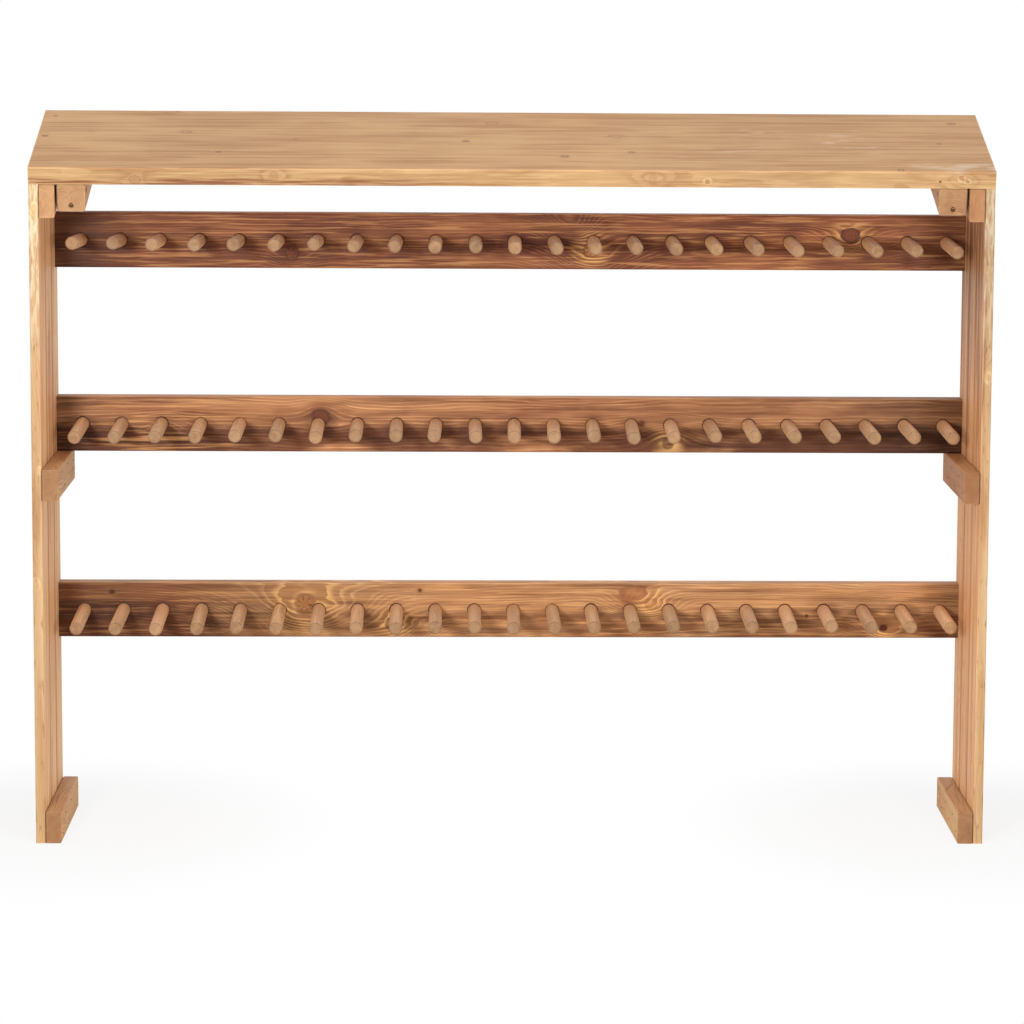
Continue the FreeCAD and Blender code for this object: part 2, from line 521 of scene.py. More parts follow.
# the first two, pale patches on the top, are partly scuffs and partly painted sheen
roofScuffsAndSheen = [
    {
        "tone": paint(224, 198, 170),
        "scales": (0.016, 0.05, 0.05),
        "cut": (0.56, 0.74),
        "show": 0.55,
        "where": [("u", 120, 360), ("u", 640, 540), ("v", -120, -40), ("v", 90, 20), ("w", 8, 13)],
    },
    {
        "tone": paint(226, 206, 184),
        "scales": (0.02, 0.05, 0.05),
        "cut": (0.38, 0.6),
        "show": 0.5,
        "where": [("u", 600, 660), ("v", -96, -116), ("w", 8, 13)],
    },
    {
        "tone": paint(136, 74, 44),
        "scales": (0.006, 0.02, 0.2),
        "cut": (0.4, 0.52),
        "show": 0.85,
        "where": [("v", -138, -144), ("w", 0, -6), ("u", 100, -300)],
    },
    {
        "tone": paint(224, 180, 128),
        "scales": (0.011, 0.02, 0.26),
        "cut": (0.46, 0.64),
        "show": 0.5,
        "where": [("v", -138, -144)],
    },
]
roofLook = {
    "seed": 3.1,
    "pith": (190, -30),
    "ring": 4.6,
    "wander": 14,
    "heave": 4.5,
    "early": paint(200, 155, 108),
    "late": paint(162, 110, 64),
    "streak": paint(168, 117, 70),
    "blotch": paint(214, 171, 120),
    "ringShow": 0.6,
    "streakShow": 0.65,
    "streakScale": (0.004, 0.13, 0.13),
    "blotchShow": 0.5,
    "fibreShow": 0.5,
    "rough": 0.5,
    "wearAndHighlightShow": 0.4,
    # painted shade: the roof's front edge a little darker than its top
    "lightAndShadeTints": [((slopeTurn @ toFront).tolist(), (0.79, 0.82, 0.8))],
    "scuffs": roofScuffsAndSheen,
    "frontFace": -142,
    "frontKnots": [
        knotsOf(faintKnot, (-585, -6, 7)),
        knotsOf(faintKnot, (-371, 1, 9), (216, 0, 9), long=0.7, show=0.3, rimShow=0.15),
        knotsOf(edgeKnot, (301, -4, 3.6), (696, 3.5, 3.4), (706, -2, 2.6)),
        knotsOf(redKnot, (663, -2.4, 1.3)),
    ],
    "knots": [
        knotsOf(faintKnot, (-548, 138.5, 10), (-668, 38, 4), (-517, 35, 8), (-32.5, 88, 8), (165, 23, 9)),
        knotsOf(
            greyKnot,
            (-738, 12, 4),
            (-731, 115, 2.4),
            (-460.5, -65, 3.6),
            (-343, 1.5, 2.2),
            (-74, -5, 4),
            (675, -6, 3),
        ),
        knotsOf(greyKnot, (80.5, -78, 5.5), (186, -57, 4), (706, 97, 5), (602, -138, 5), show=0.7),
    ],
}
dress("roof_board", woodFinish("roofWood", roofLook, boardOf("roof_board", "xyz", slopeTurn)))

onFace = ("w", -16, -18)  # a rail's front, not its top or its underside
# darker below the pegs: partly a stain, partly painted shadow of the pegs
stainAndShadowUnderPegs = {
    "tone": (0.5, 0.39, 0.34, 1),
    "kind": "MULTIPLY",
    "scales": (0.008, 0.03, 0.03),
    "cut": (0.3, 0.55),
    "show": 0.85,
    "where": [("v", 6, -14)],
}
darkCloud = {
    **stainAndShadowUnderPegs,
    "scales": (0.009, 0.036, 0.036),
    "cut": (0.46, 0.62),
    "show": 0.6,
    "where": [("v", -12, 4)],
}
flames = {
    "tone": paint(222, 164, 102),
    "scales": (0.009, 0.22, 0.22),
    "cut": (0.52, 0.64),
    "show": 0.7,
    "where": [onFace],
}
darkFlames = {
    "tone": (0.56, 0.42, 0.35, 1),
    "kind": "MULTIPLY",
    "scales": (0.007, 0.18, 0.18),
    "cut": (0.5, 0.64),
    "show": 0.5,
    "where": [onFace],
}
railLook = {
    "ring": 3.8,
    "lateFrom": 0.4,
    "late": paint(222, 166, 106),
    "streak": paint(98, 54, 32),
    "streakScale": (0.003, 0.12, 0.12),
    "blotch": paint(186, 130, 84),
    "ringShow": 0.9,
    "streakShow": 0.6,
    "blotchShow": 0.5,
    "blotchScale": (0.005, 0.03, 0.03),
    "fibreShow": 0.7,
    "rough": 0.5,
    "gloss": 0.16,
    "wander": 10,
    "dive": 14,
    "wearAndHighlightShow": 0,
    # painted light: the rails' top faces much lighter than their fronts
    "lightAndShadeTints": [(toTop, (1.9, 1.95, 2))],
    # painted shadows of the pegs, on the rail's front face only
    "pegShadow": {
        "from": -689,  # the first painted shadow's place along the rail, just past the first peg
        "pitch": rack["pegPitch"] * 1000,
        "at": -7,  # a little below the pegs
        "long": 24,
        "high": 20,
        "ragged": (2.2, 2),  # by the blotches and by the ripples of the wood
        "edge": (1.2, 0.4),
        "deep": (-10, -16),
        "show": 0.55,
        "tone": (0.42, 0.31, 0.27, 1),
    },
}
topRailLook = {
    "seed": 5.3,
    "pith": (-76, 22),
    "early": paint(118, 65, 40),
    "late": paint(172, 114, 72),
    "blotch": paint(160, 103, 65),
    # the darkening at the ends is painted shade from the panels and the roof; the others even out the tone
    "shades": alongShades((560, 735, 0.36), (-560, -735, 0.6), (280, 400, -0.12)),
    # the first scuff is partly a stain and partly painted shadow below the pegs
    "scuffs": [{**stainAndShadowUnderPegs, "show": 0.45}, darkCloud, {**flames, "show": 0.35}, darkFlames],
    "knots": [
        knotsOf(redKnot, (-353.5, -20, 11), long=1.1, cracks=5),
        knotsOf(paleKnot, (129.5, -13, 12), long=1, cracks=7),
        knotsOf(curl, (92, 42, 16)),
        knotsOf({**redKnot, **swirled}, (548, 12, 12), swirl=0.35, reach=1.5, rimShow=0.8),
    ],
}
middleRailLook = {
    "seed": 8.7,
    "pith": (84, 20),
    "ring": 4.8,
    "early": paint(167, 114, 77),
    "late": paint(224, 170, 115),
    # the darkening at the ends is painted shade from the panels and the roof; the others even out the tone
    "shades": alongShades((470, 735, 0.45), (-620, -735, 0.46), (60, 300, 0.22), (-330, -480, 0.12)),
    "scuffs": [
        # partly a stain and partly painted shadow below the pegs
        {**stainAndShadowUnderPegs, "tone": (0.3, 0.2, 0.17, 1), "cut": (0.26, 0.5), "show": 0.95},
        {**darkCloud, "show": 0.45},
        {**flames, "show": 0.6, "where": [onFace, ("u", -380, -500)]},
        {**darkFlames, "show": 0.8, "where": [onFace, ("u", -380, -500)]},
        {**darkFlames, "show": 0.5, "where": [onFace, ("u", -350, 0)]},
    ],
    "knots": [
        knotsOf(darkKnot, (-308, 13, 13), haloShow=0.8),
        knotsOf(redKnot, (213, 3.6, 4)),
        knotsOf({**darkKnot, **swirled}, (256, -29, 9), show=0.7),
        knotsOf(curl, (-560, -12, 12)),
    ],
}
bottomRailLook = {
    "seed": 12.9,
    "pith": (-88, 18),
    "early": paint(176, 129, 87),
    "late": paint(218, 174, 119),
    # the darkening at the ends is painted shade from the panels and the roof; the others even out the tone
    "shades": alongShades((660, 735, 0.3), (-560, -660, 0.3), (-150, -480, 0.2), (-60, -200, 0.1)),
    "scuffs": [
        # partly a stain and partly painted shadow below the pegs
        stainAndShadowUnderPegs,
        {**darkCloud, "show": 0.3},
        {
            **darkCloud,
            "tone": (0.56, 0.36, 0.29, 1),
            "cut": (0.2, 0.4),
            "show": 0.85,
            "where": [onFace, ("u", -400, -560)],
        },
        {**flames, "show": 0.4},
        {**darkFlames, "show": 0.4},
    ],
    "knots": [
        knotsOf(wideSwirl, (-335, 9.5, 17)),
        knotsOf({**darkKnot, **swirled}, (-191, -23, 11), show=0.4),
        knotsOf(curl, (-403, -22, 8)),
        knotsOf(redKnot, (204, 27, 15), heart=paint(158, 92, 54), long=1.6, show=0.6, rimShow=0.3),
        knotsOf(paleKnot, (232, 11, 9), show=0.4, rimShow=0.3),
        knotsOf(darkSwirl, (612, -28, 6)),
        knotsOf(darkKnot, (486, -8, 2.6), (-648, 30, 3), (-147, 33, 2.8)),
    ],
}
railLooks = {"top": topRailLook, "middle": middleRailLook, "bottom": bottomRailLook}
for height, look in railLooks.items():
    node = f"{height}_rail"
    dress(node, woodFinish(f"{height}RailWood", {**railLook, **look}, boardOf(node, "xzy")))

panelLook = {
    "ring": 3,
    "early": paint(208, 164, 120),
    "late": paint(172, 118, 74),
    "streak": paint(178, 122, 78),
    "blotch": paint(218, 178, 136),
    "ringShow": 0.75,
    "streakShow": 0.7,
    "streakScale": (0.003, 0.05, 0.05),
    "blotchShow": 0.6,
    "blotchScale": (0.003, 0.04, 0.04),
    "fibreShow": 0.36,
    "jointTone": paint(178, 116, 68),
    "jointBand": (12, 3.5),
    "jointShow": 0.75,
}
panelStreaks = {
    "tone": (0.72, 0.56, 0.44, 1),
    "kind": "MULTIPLY",
    "scales": (0.0045, 0.05, 0.05),
    "cut": (0.54, 0.68),
    "show": 0.8,
    "where": [("u", -200, 100)],
}
# dark streaks high on the right panel's inner face: partly stain, partly painted shadow
rightStreaksAndShadow = {
    **panelStreaks,
    "tone": (0.46, 0.3, 0.22, 1),
    "scales": (0.004, 0.07, 0.07),
    "cut": (0.47, 0.58),
    "where": [("u", 40, 200), ("w", 2, -6)],
}
# lightens the right front edge where the painted shade from the roof falls on the panel
rightEdgeLight = {
    "tone": (1.12, 1.12, 1.14, 1),
    "kind": "MULTIPLY",
    "scales": (0.004, 0.02, 0.02),
    "cut": (0.1, 0.3),
    "show": 1,
    "where": [("u", 100, 400), ("v", -44, -46.5)],
}
panelEdgeScuffs = [
    {
        "tone": paint(238, 212, 182),
        "scales": (0.03, 0.16, 0.16),
        "cut": (0.44, 0.6),
        "show": 0.65,
        "where": [("u", 180, 420), ("v", -40, -45)],
    },
    {
        "tone": paint(150, 92, 50),
        "scales": (0.03, 0.2, 0.2),
        "cut": (0.6, 0.68),
        "show": 0.6,
        "where": [("v", -40, -45)],
    },
]
panelEdgeKnot = {
    **edgeKnot,
    "heart": paint(226, 178, 124),
    "rim": paint(186, 128, 78),
    "long": 1.5,
    "ringShow": 0.6,
    "show": 0.6,
    "rimShow": 0.35,
    "reach": 2.8,
}
# each side's inside factor is painted light on the panel's inner face, and its top shade is painted shade
# from the roof on the panel's upper part
panelSides = {
    "left": {
        "edgeKnots": [(-120, -2.5, 3.6), (468, 1, 4), (60, 5, 2.4)],
        "insideLight": (1.6, 1.72, 1.76),
        "topShade": 0.04,
        "scuffs": [panelStreaks],
    },
    "right": {
        "edgeKnots": [(212, 1.5, 4), (-250, -4, 2.6), (380, -3, 2.2)],
        "insideLight": (1.46, 1.4, 1.34),
        "topShade": 0.36,
        "scuffs": [panelStreaks, rightStreaksAndShadow, rightEdgeLight],
    },
}
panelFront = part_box("left_panel_front_board")[0][1]
for side, own in panelSides.items():
    for position in ("front", "middle", "rear"):
        node = f"{side}_panel_{position}_board"
        low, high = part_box(node)
        middle = (low[1] + high[1]) / 2
        look = {
            **panelLook,
            "seed": random.uniform(1, 40),
            "pith": (random.uniform(-30, 30), random.choice([-1, 1]) * random.uniform(30, 60)),
            "joints": [(panelFront + rack["boardWidth"] * step - middle) * 1000 for step in (1, 2)],
            # painted light and shade: the front edges a little darker, the inner faces lighter
            "lightAndShadeTints": [(toFront, (0.9, 1, 0.97)), (inwards[side], own["insideLight"])],
            # painted shade from the roof on the upper part
            "shades": alongShades((100, 420, own["topShade"])),
            "scuffs": own["scuffs"],
        }
        if position == "front":
            look["scuffs"] = panelEdgeScuffs + own["scuffs"]
            look["frontFace"] = (low[1] - middle) * 1000
            look["frontKnots"] = [knotsOf(panelEdgeKnot, *own["edgeKnots"])]
        if (side, position) == ("right", "middle"):
            # a dark streak beside the joint on the inner face: partly stain, partly painted shadow
            look["shades"].append(([("v", 4, 42), ("u", -120, 90), ("w", 2, -4)], 0.42))
        dress(node, woodFinish(f"{side}{position.title()}BoardWood", look, boardOf(node, "zyx")))

cleatLook = {
    "ring": 2.8,
    "early": paint(198, 151, 104),
    "late": paint(150, 98, 56),
    "streak": paint(170, 116, 72),
    "blotch": paint(206, 161, 114),
    "ringShow": 0.85,
    "streakShow": 0.5,
    "blotchShow": 0.4,
    "fibreShow": 0.36,
}
# what the colours of a piece's sawn ends and of its inner side are multiplied by, each left and right; on
# the side this is painted light and shade
cleatTints = {
    "top_cleat": [((0.87, 0.84, 0.8), (0.7, 0.6, 0.52)), ((1.2, 1.2, 1.16), (1, 0.94, 0.9))],
    "middle_cleat": [((0.61, 0.56, 0.52), (0.53, 0.41, 0.34)), ((1.3, 1.4, 1.44), (0.95, 0.84, 0.84))],
    "foot_cleat": [((0.6, 0.54, 0.5), (0.58, 0.52, 0.49)), ((1.32, 1.42, 1.4), (1.34, 1.46, 1.44))],
    "roof_batten": [((0.82, 0.84, 0.9), (0.7, 0.68, 0.7)), ((1.2, 1.2, 1.16), (1.1, 1.06, 1))],
}
# dark lines where a piece meets its panel and the roof, from and to these distances inside it,
# and painted shade round the mouths of the battens' pockets
cleatShades = {"panel": (2, 0.8, 0.75), "roof": (1.8, 0.6, 0.6)}
pocketMouthShade = {"in": 0.99, "down": -13, "radius": 3.4}
for place, (side, step) in enumerate(sides.items()):
    for part, (endTints, sideLightAndShade) in cleatTints.items():
        node = f"{side}_{part}"
        turn = slopeTurn if part in ("top_cleat", "roof_batten") else levelTurn
        board = boardOf(node, "yzx", turn)
        halfLong, halfUp, halfOut = board["half"]
        near, full, amount = cleatShades["panel"]
        look = {
            **cleatLook,
            "seed": random.uniform(1, 40),
            "pith": (random.uniform(-30, 10), random.uniform(-24, 24)),
            "endTint": endTints[place],
            # painted light and shade on the piece's inner side
            "lightAndShadeTints": [(inwards[side], sideLightAndShade[place])],
            "shades": [([("w", step * (halfOut - near), step * (halfOut - full))], amount)],
        }
        if turn is slopeTurn:
            near, full, amount = cleatShades["roof"]
            look["shades"].append(([("v", halfUp - near, halfUp - full)], amount))
        # painted shade round the mouths of the batten's pockets
        if part == "roof_batten":
            ends = (-halfLong * pocketMouthShade["in"], halfLong * pocketMouthShade["in"])
            look["spots"] = [((end, pocketMouthShade["down"], 0), pocketMouthShade["radius"]) for end in ends]
        finishName = side + part.title().replace("_", "") + "Wood"
        dress(node, woodFinish(finishName, look, board))
print("boards, rails, cleats and battens dressed")


def finishedPiece(name, points, faces, finish, sharp=None):
    # a piece on the frame's root: smooth, but for edges of more than sharp degrees, or flat
    mesh = bpy.data.meshes.new(name)
    mesh.from_pydata(points.reshape(-1, 3).tolist(), [], faces)
    mesh.materials.append(finish)
    mesh.polygons.foreach_set("use_smooth", np.full(len(mesh.polygons), sharp is not None))
    mesh.update()
    if sharp is not None:
        mesh.set_sharp_from_angle(angle=math.radians(sharp))
    piece = placed(name, mesh)
    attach(piece, "root")
    return piece


def addValues(piece, name, values, kind="FLOAT"):
    # a value for each point of a piece, which its material reads by name
    layer = piece.data.attributes.new(name, kind, "POINT").data
    layer.foreach_set("vector" if kind == "FLOAT_VECTOR" else "value", values.ravel())


def aroundQuads(index):
    # quads between neighbouring rings of points, whose last axis goes once round
    after = np.roll(index, -1, axis=-1)
    corners = [index[..., :-1, :], index[..., 1:, :], after[..., 1:, :], after[..., :-1, :]]
    return np.stack(corners, axis=-1).reshape(-1, 4).tolist()


def numbered(points):
    # the place of each point in a mesh's list, as a grid
    return np.arange(points[..., 0].size).reshape(points.shape[:-1])


def cappedFaces(points):
    # the faces of shapes made of rings, closed by their first and their last ring
    index = numbered(points)
    return aroundQuads(index) + index[:, -1, ::-1].tolist() + index[:, 0].tolist()


dowels = {
    "around": 40,
    "sharp": 35,
    "tipEdge": 0.0008,  # how far the sawn tip's edge is worn away
    "lean": 0.0016,  # how far a tip strays from straight ahead
    # how far the tips rise from straight ahead at the rail's left end, middle and right end
    "rise": {
        "top": (0.006, 0.001, -0.003),
        "middle": (-0.003, -0.0015, -0.001),
        "bottom": (-0.006, -0.004, -0.001),
    },
    "pith": (10, 60),  # millimetres from a dowel's middle to its pith, at least and at most
    "timber": 3000,  # millimetres of wood that the dowels are cut from
    "tones": (0.86, 1.08),
    # painted light: how light each row of dowels is made
    "rowLight": {"top": 0.98, "middle": 1.0, "bottom": 0.99},
    "tipShade": 0.72,  # how dark the worn edge is against the rest
    "look": {
        "pith": (0.0, 0.0),
        "ring": 2.2,
        "early": paint(226, 179, 130),
        "late": paint(190, 141, 98),
        "streak": paint(188, 136, 98),
        "blotch": paint(228, 182, 142),
        "ringShow": 0.7,
        "streakShow": 0.6,
        "blotchShow": 0.4,
        "fibreShow": 0.5,
        "endTint": (0.48, 0.455, 0.41),
        # painted light: the dowels' upper sides a little lighter
        "lightAndShadeTints": [(toTop, (1.08, 1.06, 1.08))],
    },
}


def dowelRow(height):
    # Each dowel is a profile of radius against distance from the rail, carried round its axis;
    # point = (x + radius cos angle, rail face - distance, z + radius sin angle) + lean * distance.
    node = f"{height}_rail_pegs"
    low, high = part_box(node)
    radius = (high[2] - low[2]) / 2
    reach = high[1] - low[1]
    number = round((high[0] - low[0] - 2 * radius) / rack["pegPitch"]) + 1
    centres = np.linspace(low[0] + radius, high[0] - radius, number)
    middle = (low[2] + high[2]) / 2
    edge, dim = dowels["tipEdge"], dowels["tipShade"]
    distance = reach - np.array([reach, reach * 0.5, edge * 3, edge, edge * 0.3, 0, 0])
    profile = radius - np.array([0, 0, 0, 0, edge * 0.3, edge, edge * 3])
    shade = np.array([1, 1, 1, dim, dim, dim, 1])
    angle = np.linspace(2 * np.pi, 0, dowels["around"], endpoint=False)
    leanX, leanZ = random.uniform(-dowels["lean"], dowels["lean"], (2, number, 1, 1)) / reach
    rise = np.interp(np.linspace(0, 2, number), [0, 1, 2], dowels["rise"][height])
    leanZ += rise[:, None, None] / reach
    shape = (number, len(distance), len(angle))
    points = np.empty((*shape, 3))
    points[..., 0] = profile[:, None] * np.cos(angle)
    points[..., 1] = high[1] - distance[:, None]
    points[..., 2] = profile[:, None] * np.sin(angle)
    side, upwards = points[..., 0] * 1000, points[..., 2] * 1000

    # the grain of each dowel: its own stretch of timber, turned by its own angle
    turn = random.uniform(0, 2 * np.pi, number)[:, None, None]
    pith = random.uniform(*dowels["pith"], number)[:, None, None]
    grain = np.empty_like(points)
    grain[..., 0] = points[..., 1] * 1000 + random.uniform(0, dowels["timber"], number)[:, None, None]
    grain[..., 1] = side * np.cos(turn) + upwards * np.sin(turn)
    grain[..., 2] = upwards * np.cos(turn) - side * np.sin(turn) + pith
    # each dowel's own tone, darker at its tip's edge, times its row's painted light
    tone = random.uniform(*dowels["tones"], number)[:, None, None] * shade[:, None] * np.ones(shape)
    tone *= dowels["rowLight"][height]

    points[..., 0] += centres[:, None, None] + leanX * distance[:, None]
    points[..., 2] += middle + leanZ * distance[:, None]

    def axes(start):
        return start.read("grain", "Vector").parts()

    look = {**dowels["look"], "seed": random.uniform(1, 40)}
    finish = woodFinish(f"{height}DowelWood", look, {"axes": axes, "along": toFront, "toneName": "tone"})
    row = finishedPiece(f"{height}Dowels", points, cappedFaces(points), finish, dowels["sharp"])
    addValues(row, "grain", grain, "FLOAT_VECTOR")
    addValues(row, "tone", tone)
    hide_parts(node)
    return centres, middle, high[1], radius


patches = {
    "noise": {"Scale": 700.0, "Detail": 3.0},
    "cut": (0.35, 0.65),
    "rougher": 0.15,  # how much rougher the pale patches are
    "bump": {"Strength": 0.2, "Distance": 0.0002},
    "recessShadeShow": 0.85,
}


def dullFinish(name, spec):
    # worn metal or the hole rims' painted shadow: two tones of one colour in small patches, and painted
    # shade in a recess
    material = bpy.data.materials.new(name)
    start = clearTree(material)
    sockets = {"Vector": start.node("TexCoord", out="Object"), **patches["noise"]}
    patch = start.node("TexNoise", sockets, out="Fac").between(*patches["cut"])
    darker = tuple(part * spec["darker"] for part in spec["tone"][:3]) + (1.0,)
    bump = start.node("Bump", {"Height": patch, **patches["bump"]})
    colour = patch.blend(darker, spec["tone"])
    # painted shade in a screw's cross-shaped recess
    if "recessShadeTone" in spec:
        share = start.read("recess") * patches["recessShadeShow"]
        colour = share.blend(colour, spec["recessShadeTone"])
    sockets = {"Base Color": colour, "Roughness": spec["rough"] + patch * patches["rougher"]}
    sockets.update({"Normal": bump, "Metallic": spec["metal"]})
    start.node("BsdfPrincipled", sockets).end("OutputMaterial")
    return material


# a ring of painted shadow in the gap round each dowel
holes = {
    "around": 40,
    "under": 0.0006,  # how far the ring reaches in under the dowel
    "wider": 0.0009,  # how much the drilled hole's radius is more than the dowel's
    "above": 0.0006,  # how far its middle is above the dowel's, so the painted shadow is wider on top
    "stray": 0.0003,
    "proud": 0.0002,
    "finish": {"tone": paint(64, 34, 18), "darker": 0.6, "rough": 0.8, "metal": 0.0},
}


def holeShadowRims(height, centres, middle, face, radius, finish):
    # The painted shadow in the gap round each dowel: a dark, flat closed ring in the rail's face, whose
    # section is a small oblong; point = (x + radius cos angle, face + offset, z + radius sin angle).
    number = len(centres)
    inner, outer = radius - holes["under"], radius + holes["wider"]
    section = np.array([[inner, -1], [outer, -1], [outer, 1], [inner, 1]])
    angle = np.linspace(0, 2 * np.pi, holes["around"], endpoint=False)
    strayX, strayZ = random.normal(0, holes["stray"], (2, number, 1, 1))
    wide = section[:, 0] > radius
    points = np.empty((number, len(section), len(angle), 3))
    points[..., 0] = centres[:, None, None] + section[:, :1] * np.cos(angle) + strayX * wide[:, None]
    points[..., 1] = face + section[:, 1:] * holes["proud"]
    points[..., 2] = middle + section[:, :1] * np.sin(angle) + (strayZ + holes["above"]) * wide[:, None]
    index = numbered(points)
    closed = np.concatenate([index, index[:, :1]], axis=1)
    finishedPiece(f"{height}PegHoleShadows", points, aroundQuads(closed), finish)


holeShadowFinish = dullFinish("holeShadow", holes["finish"])
for height in railLooks:
    row = dowelRow(height)
    holeShadowRims(height, *row, holeShadowFinish)
print("dowels made:", len(railLooks) * len(row[0]))

# A head's radius, its rim's height above the wood, its crown's above the rim, and its cross-shaped
# recess: half the width of an arm, how far it reaches and how deep it is.
crossScrew = {
    "radius": 0.004,
    "edge": 0.0003,
    "crown": 0.0003,
    "arm": 0.00065,
    "reach": 0.0024,
    "recess": 0.0005,
}
fasteners = {
    "around": 32,
    "sharp": 30,
    "rings": (0.05, 0.2, 0.35, 0.5, 0.58, 0.66, 0.8, 0.92, 1.0, 1.0),  # in shares of the radius
    "wall": 0.0002,  # how wide the walls of a recess are
    "rimShare": 0.4,  # how high the rim starts, as a share of its edge
    "shank": 0.0015,
    "battenScrews": crossScrew,
    "railScrews": {**crossScrew, "edge": 3e-5, "crown": 1e-5, "recess": 2e-5},
    "pocketScrews": {**crossScrew, "radius": 0.0031, "arm": 0.0006, "reach": 0.002, "recess": 0.0014},
    "cleatPins": {"radius": 0.0014, "edge": 0.0003, "crown": 0.0004, "arm": 0, "reach": 0, "recess": 0},
    "pocketDrop": 0.035,  # from the roof board down to the middle of a pocket's mouth
    "pocketLean": 45.0,  # degrees, rising into the batten
    "pocketSunk": 0.005,
    "screwIn": 0.028,  # from a batten's end
    "screwDrop": 0.018,  # down from the roof board
    "railScrewSpread": 0.025,  # each side of a rail's middle height
    "pinSpread": (0.022, 0.011),  # each side of a board's middle, and of a cleat's
    "pinStray": 0.002,
    "zinc": {
        "tone": paint(142, 126, 106),
        "darker": 0.5,
        "rough": 0.4,
        "metal": 0.9,
        # painted shade in the cross-shaped recess
        "recessShadeTone": paint(46, 38, 32),
    },
    "oldPin": {"tone": paint(84, 66, 52), "darker": 0.5, "rough": 0.5, "metal": 0.5},
}


def heads(name, fixings, finish):
    # Fastener heads, each a grid of rings about its outward line. Its height is a low crown,
    # crown * (1 - (radius / rim) squared), less a cross-shaped recess with soft walls; the
    # rim then turns back into the wood. point = place + across * x + up * y + outward * height.
    size = fasteners[name]
    rim, wall = size["radius"], fasteners["wall"]
    places, outward = np.array(fixings, float).swapaxes(0, 1)
    radius = np.array(fasteners["rings"])[:, None] * rim
    angle = np.linspace(0, 2 * np.pi, fasteners["around"], endpoint=False)
    x, y = radius * np.cos(angle), radius * np.sin(angle)
    near, far = np.minimum(abs(x), abs(y)), np.maximum(abs(x), abs(y))
    cross = np.clip((size["arm"] - near) / wall, 0, 1) * np.clip((size["reach"] - far) / wall, 0, 1)
    height = size["crown"] * (1 - (radius / rim) ** 2) - size["recess"] * cross + size["edge"]
    height[-2] = size["edge"] * fasteners["rimShare"]
    height[-1] = -fasteners["shank"]
    upright = np.where(abs(outward[:, 2:]) > 0.9, [[0.0, 1.0, 0.0]], [[0.0, 0.0, 1.0]])
    across = np.cross(upright, outward)
    across /= np.linalg.norm(across, axis=1, keepdims=True)
    up = np.cross(outward, across)
    spin = random.uniform(0, np.pi, (len(places), 1))
    across, up = across * np.cos(spin) + up * np.sin(spin), up * np.cos(spin) - across * np.sin(spin)
    points = places[:, None, None]
    for direction, amount in ((across, x), (up, y), (outward, height)):
        points = points + direction[:, None, None] * amount[None, ..., None]
    piece = finishedPiece(name, points, cappedFaces(points), finish, fasteners["sharp"])
    addValues(piece, "recess", np.tile(cross.ravel(), len(places)))


fixings = {"pocketScrews": [], "battenScrews": [], "railScrews": [], "cleatPins": []}
lean = math.radians(fasteners["pocketLean"])
for name, side in sides.items():
    low, high = levelBox(f"{name}_roof_batten", slopeTurn)
    inner = high[0] if side < 0 else low[0]
    for end, inward in ((low[1], 1), (high[1], -1)):
        aim = np.array([0, inward * math.cos(lean), math.sin(lean)])
        mouth = np.array([(low[0] + high[0]) / 2, end, high[2] - fasteners["pocketDrop"]])
        sunk = mouth + aim * fasteners["pocketSunk"]
        fixings["pocketScrews"].append((slopeTurn @ sunk, slopeTurn @ -aim))
        place = [inner, end + inward * fasteners["screwIn"], high[2] - fasteners["screwDrop"]]
        fixings["battenScrews"].append((slopeTurn @ place, inwards[name]))
    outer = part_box(f"{name}_panel_rear_board")[0 if side < 0 else 1][0]
    for height in railLooks:
        low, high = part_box(f"{height}_rail")
        for step in (-1, 1):
            up = (low[2] + high[2]) / 2 + step * fasteners["railScrewSpread"]
            fixings["railScrews"].append(([outer, (low[1] + high[1]) / 2, up], [side, 0, 0]))
    for part, turn in (("top", slopeTurn), ("middle", levelTurn), ("foot", levelTurn)):
        low, high = levelBox(f"{name}_{part}_cleat", turn)
        inner = high[0] if side < 0 else low[0]
        for share in (1 / 6, 1 / 2, 5 / 6):
            for step in (-1, 1):
                stray = random.normal(0, fasteners["pinStray"], 2)
                along, up = stray + np.array(fasteners["pinSpread"]) * step
                place = [inner, low[1] + (high[1] - low[1]) * share + along, (low[2] + high[2]) / 2 + up]
                fixings["cleatPins"].append((turn @ place, inwards[name]))
zinc = dullFinish("zincPlate", fasteners["zinc"])
oldPin = dullFinish("oldPin", fasteners["oldPin"])
for name, places in fixings.items():
    heads(name, places, oldPin if name == "cleatPins" else zinc)
print("fasteners made:", sum(len(places) for places in fixings.values()))

floorLook = {
    "size": 14,
    "tone": 0.9,
    "shadowShare": 0.16,  # how much of the object's shadow the camera sees, close to it
    "footing": 0.73,  # from the middle of the floor to either foot
    "near": 0.16,  # how far from a foot's middle the shadow stays, and where it is gone
    "far": 0.5,
    "deepShare": 0.8,  # how much less a distance counts from front to back
}


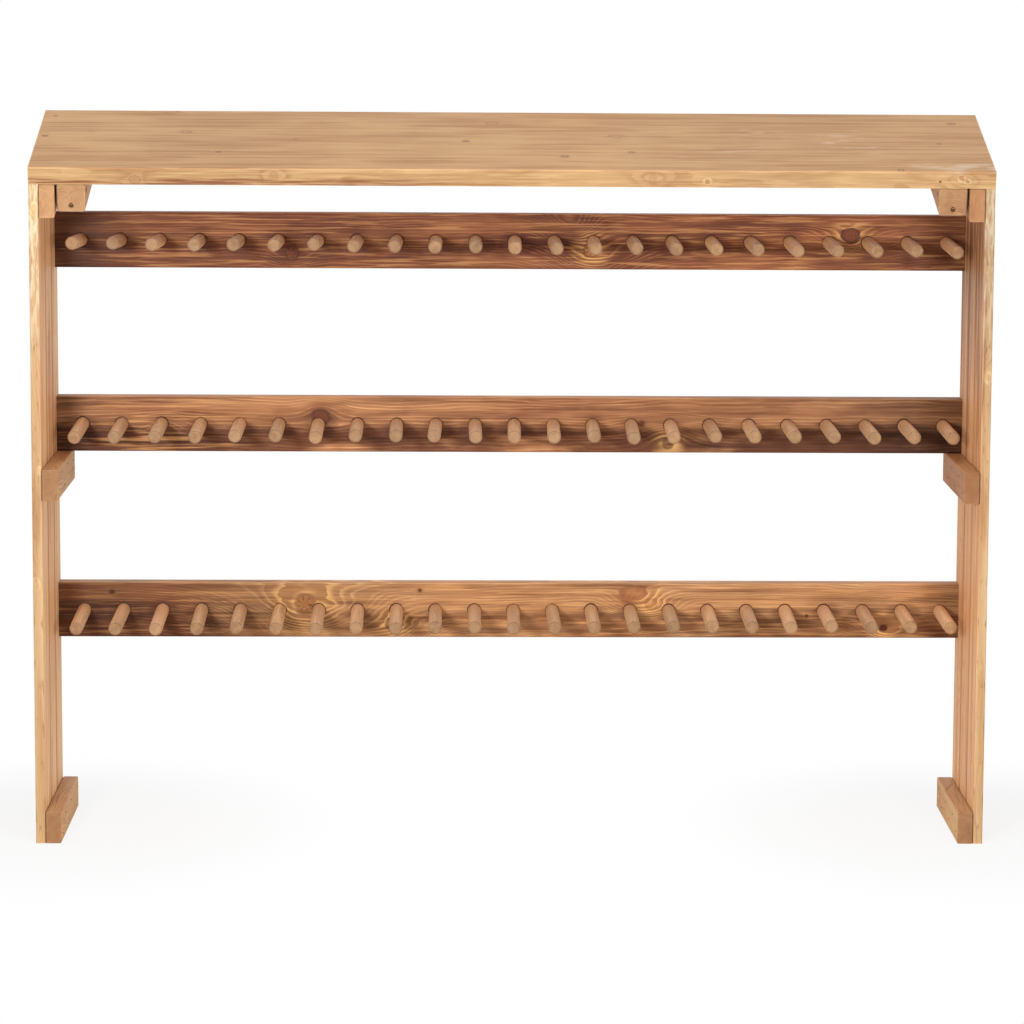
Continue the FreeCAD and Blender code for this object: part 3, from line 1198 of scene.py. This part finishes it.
def makeFloor():
    # a flat square that the camera sees white, with part of the object's shadow close to it
    half = floorLook["size"] / 2
    corners = [[-half, -half, 0], [half, -half, 0], [half, half, 0], [-half, half, 0]]
    mesh = bpy.data.meshes.new("floor")
    mesh.from_pydata(corners, [], [[0, 1, 2, 3]])
    floor = placed("floor", mesh)
    material = bpy.data.materials.new("floorPaper")
    start = clearTree(material)
    tone = floorLook["tone"]
    matt = start.node("BsdfDiffuse", {"Color": (tone, tone, tone, 1)})
    glow = start.node("Emission", {"Color": (1, 1, 1, 1), "Strength": 1.0})
    seen = start.node("LightPath", out="Is Camera Ray")
    across, deep, _ = start.node("TexCoord", out="Object").parts()
    fromFoot = lengthOf(across.math("ABSOLUTE") - floorLook["footing"], deep * floorLook["deepShare"])
    shadow = fromFoot.between(floorLook["far"], floorLook["near"]) * floorLook["shadowShare"]
    surface = start.node("MixShader", {0: seen * (1 - shadow), 1: matt, 2: glow})
    surface.end("OutputMaterial")
    mesh.materials.append(material)


makeFloor()

studio = {
    "fill": 0.45,  # light from all round
    "lamps": {
        "leftLamp": {"at": (-1.3, -4.4, 1.4), "size": 0.5, "power": 110},
        "rightLamp": {"at": (1.8, -4.3, 1.1), "size": 0.5, "power": 62},
        "topLamp": {"at": (0, -1.5, 3.4), "size": 2, "power": 27},
    },
    "aim": (0, 0, 0.6),
}


def makeLight():
    # square lamps that aim at the rack, in a world that is white to look at and dimmer as light
    world = bpy.data.worlds.new("studio")
    bpy.context.scene.world = world
    start = clearTree(world)
    rays = ("Is Camera Ray", "Is Glossy Ray", "Is Transmission Ray")
    camera, glossy, through = start.node("LightPath", out=rays)
    seen = camera.math("MAXIMUM", glossy).math("MAXIMUM", through)
    fill = studio["fill"]
    tone = seen.blend((fill, fill, fill, 1), (1, 1, 1, 1))
    start.node("Background", {"Color": tone, "Strength": 1.0}).end("OutputWorld")
    for name, lamp in studio["lamps"].items():
        light = bpy.data.lights.new(name, "AREA")
        light.shape = "SQUARE"
        light.size = lamp["size"]
        light.energy = lamp["power"]
        holder = placed(name, light)
        facing = (Vector(lamp["at"]) - Vector(studio["aim"])).to_track_quat("Z", "Y")
        holder.matrix_world = Matrix.Translation(lamp["at"]) @ facing.to_matrix().to_4x4()


makeLight()

view = {
    "at": (-0.0739, -6.3837, 1.3924),
    "down": 7.85,  # degrees below level
    "right": 1.54,  # degrees turned to the right
    "roll": 0.364,
    "lens": 141.41,
    "shift": -0.0586,
    "far": 100,
}


def makeCamera():
    camera = bpy.data.cameras.new("camera")
    camera.lens = view["lens"]
    camera.shift_x = view["shift"]
    camera.clip_end = view["far"]
    holder = placed("camera", camera)
    turn = Matrix.Rotation(math.radians(-view["right"]), 4, "Z")
    tilt = Matrix.Rotation(math.radians(90 - view["down"]), 4, "X")
    roll = Matrix.Rotation(math.radians(view["roll"]), 4, "Z")
    holder.matrix_world = Matrix.Translation(view["at"]) @ turn @ tilt @ roll
    bpy.context.scene.camera = holder


makeCamera()
bpy.context.scene.view_settings.view_transform = "Standard"
print("floor, light and camera set")
